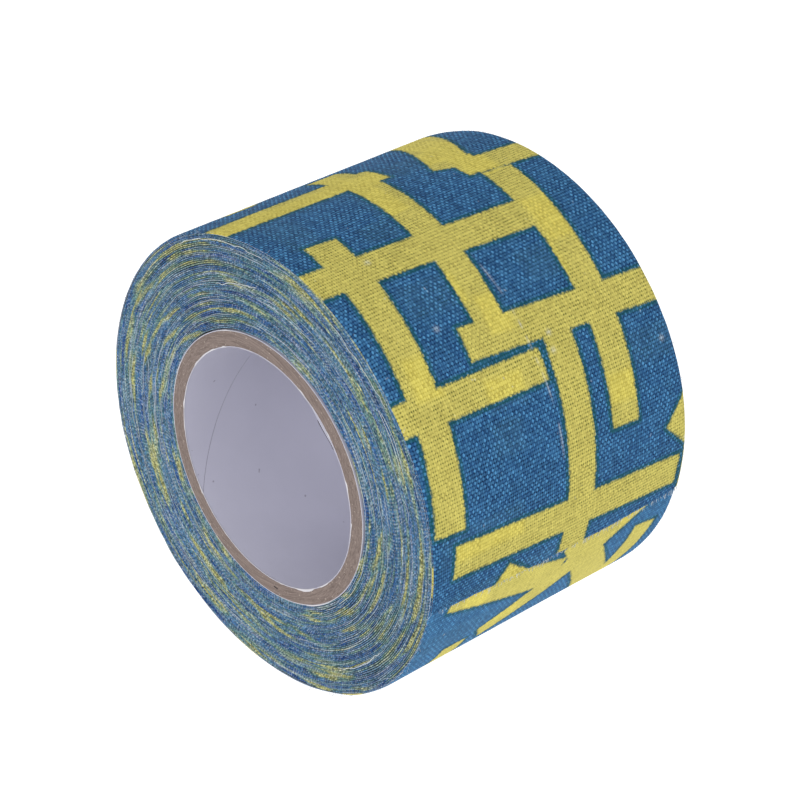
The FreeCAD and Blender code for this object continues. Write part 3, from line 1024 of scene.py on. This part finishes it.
def flap_lift(angle):
    """How far the free edge of the lifted liner stands off the bore."""
    share = (angle - FLAP_START) / (FLAP_END - FLAP_START)
    return FLAP_LIFT * np.sin(math.pi * np.clip(share, 0, 1) ** 1.3) ** 2


def lifted_liner():
    """A stretch of the inner liner's front edge that has come off the board and leans into the bore."""
    front = -HALF_WIDTH - 0.03
    degrees, y = np.linspace(FLAP_START, FLAP_END, 90), np.linspace(front, front + FLAP_WIDTH, 8)
    degrees, y = np.meshgrid(degrees, y, indexing="ij")
    lift = flap_lift(degrees) * (1 - (y - front) / FLAP_WIDTH) ** 1.4
    sides = [about_axis(BORE_RADIUS - lift - depth, degrees, y) for depth in FLAP_DEPTHS]
    return thin_sheet("lifted_liner_edge", *sides, flip=True)


SLIT_START, SLIT_END = 34, 49  # angles of the painted shadow beside the lifted liner
NICK_START, NICK_END = 273.6, 276.2
NICK_RADIUS = 19.75
MARK_TINT = 0.5


def core_marks():
    """Painted shadow along the free edge of the lifted liner, and painted shade of a nick in the end of the
    board.
    """
    degrees = np.linspace(SLIT_START, SLIT_END, 24)
    radius = BORE_RADIUS - flap_lift(degrees) - 0.06 + 0.05 * wander(degrees, 2.5, 98)
    slit = about_axis(radius, degrees, -HALF_WIDTH - 0.02)
    degrees = np.linspace(NICK_START, NICK_END, 8)
    nick = about_axis(NICK_RADIUS + 0.05 * (degrees - NICK_START), degrees, -HALF_WIDTH)
    return fibres("core_marks", [(slit, 0.06, MARK_TINT), (nick, 0.12, MARK_TINT)])


def shadow_look():
    look = Look("dark_slits", roughness=0.95, specular=0.05)
    speck = look.noise(look.here(), 3000.0)
    look.shade("Base Color", look.mix(speck, rgb(36, 33, 36), rgb(74, 70, 76)))
    look.bump(speck, 0.02 * MM)
    return look.material


torn = paper_look("torn_paper", rgb(186, 184, 190), rgb(208, 206, 210))
for side, end in ((-1, "front"), (1, "back")):
    inner = paper_burr(f"bore_liner_burr_{end}", side, BORE_RADIUS, 0.4, 91 + side)
    outermost = paper_burr(f"outer_liner_burr_{end}", side, CORE_RADIUS - 0.06, 0.2, 96 + side)
    finish_piece(inner, torn)
    finish_piece(outermost, torn)
# the seam's darker paper is painted shade
seam_painted_shade = paper_look("seam_painted_shade", rgb(140, 138, 150), rgb(150, 148, 160))
finish_piece(bore_seam(), seam_painted_shade)
finish_piece(lifted_liner(), paper)
finish_piece(core_marks(), shadow_look())

# ---- floor, light and camera

FLOOR_SIZE_M = 4.0
FLOOR_GAP = 0.02  # between the floor and the lowest point of the roll

corners = np.array([(-1, -1, 0), (1, -1, 0), (1, 1, 0), (-1, 1, 0)]) * FLOOR_SIZE_M / 2 / MM
corners[:, 2] = FLOOR_Z - FLOOR_GAP
floor = make_mesh("studio_floor", corners, [np.array([[0, 1, 2, 3]])], smooth=False)
floor_look = Look("floor", roughness=0.9, specular=0.0)
floor_look.shade("Base Color", rgb(100, 100, 100))
floor_look.shade("Emission Color", (1.0, 1.0, 1.0, 1.0))
floor_look.shade("Emission Strength", 1.15)
floor.data.materials.append(floor_look.material)

world = bpy.data.worlds.new("studio")
bpy.context.scene.world = world
world.use_nodes = True
background = world.node_tree.nodes["Background"]
background.inputs["Color"].default_value = (1.0, 1.0, 1.0, 1.0)
background.inputs["Strength"].default_value = 0.8

LAMP_SIZE_M = 0.6
CAMERA_PLACE_M = (0.25484, -0.23046, 0.20830)
CAMERA_AIM = (-0.63402, 0.57621, -0.51576)
CAMERA_LENS = 121.7


def soft_light(name, place_m, power):
    """A round lamp aimed at the middle of the roll."""
    lamp = bpy.data.lights.new(name, "AREA")
    lamp.shape = "DISK"
    lamp.size = LAMP_SIZE_M
    lamp.energy = power
    holder = bpy.data.objects.new(name, lamp)
    holder.location = place_m
    holder.rotation_euler = (-Vector(place_m)).to_track_quat("-Z", "Y").to_euler()
    bpy.context.scene.collection.objects.link(holder)


soft_light("key", (0.35, -0.78, 0.38), 3.7)
soft_light("back fill", (0.3, 0.8, 0.45), 1.8)

camera_data = bpy.data.cameras.new("camera")
camera_data.lens = CAMERA_LENS
camera_data.sensor_width = 36.0
camera = bpy.data.objects.new("camera", camera_data)
camera.location = CAMERA_PLACE_M
camera.rotation_euler = Vector(CAMERA_AIM).to_track_quat("-Z", "Y").to_euler()
bpy.context.scene.collection.objects.link(camera)
bpy.context.scene.camera = camera
bpy.context.scene.view_settings.view_transform = "Standard"
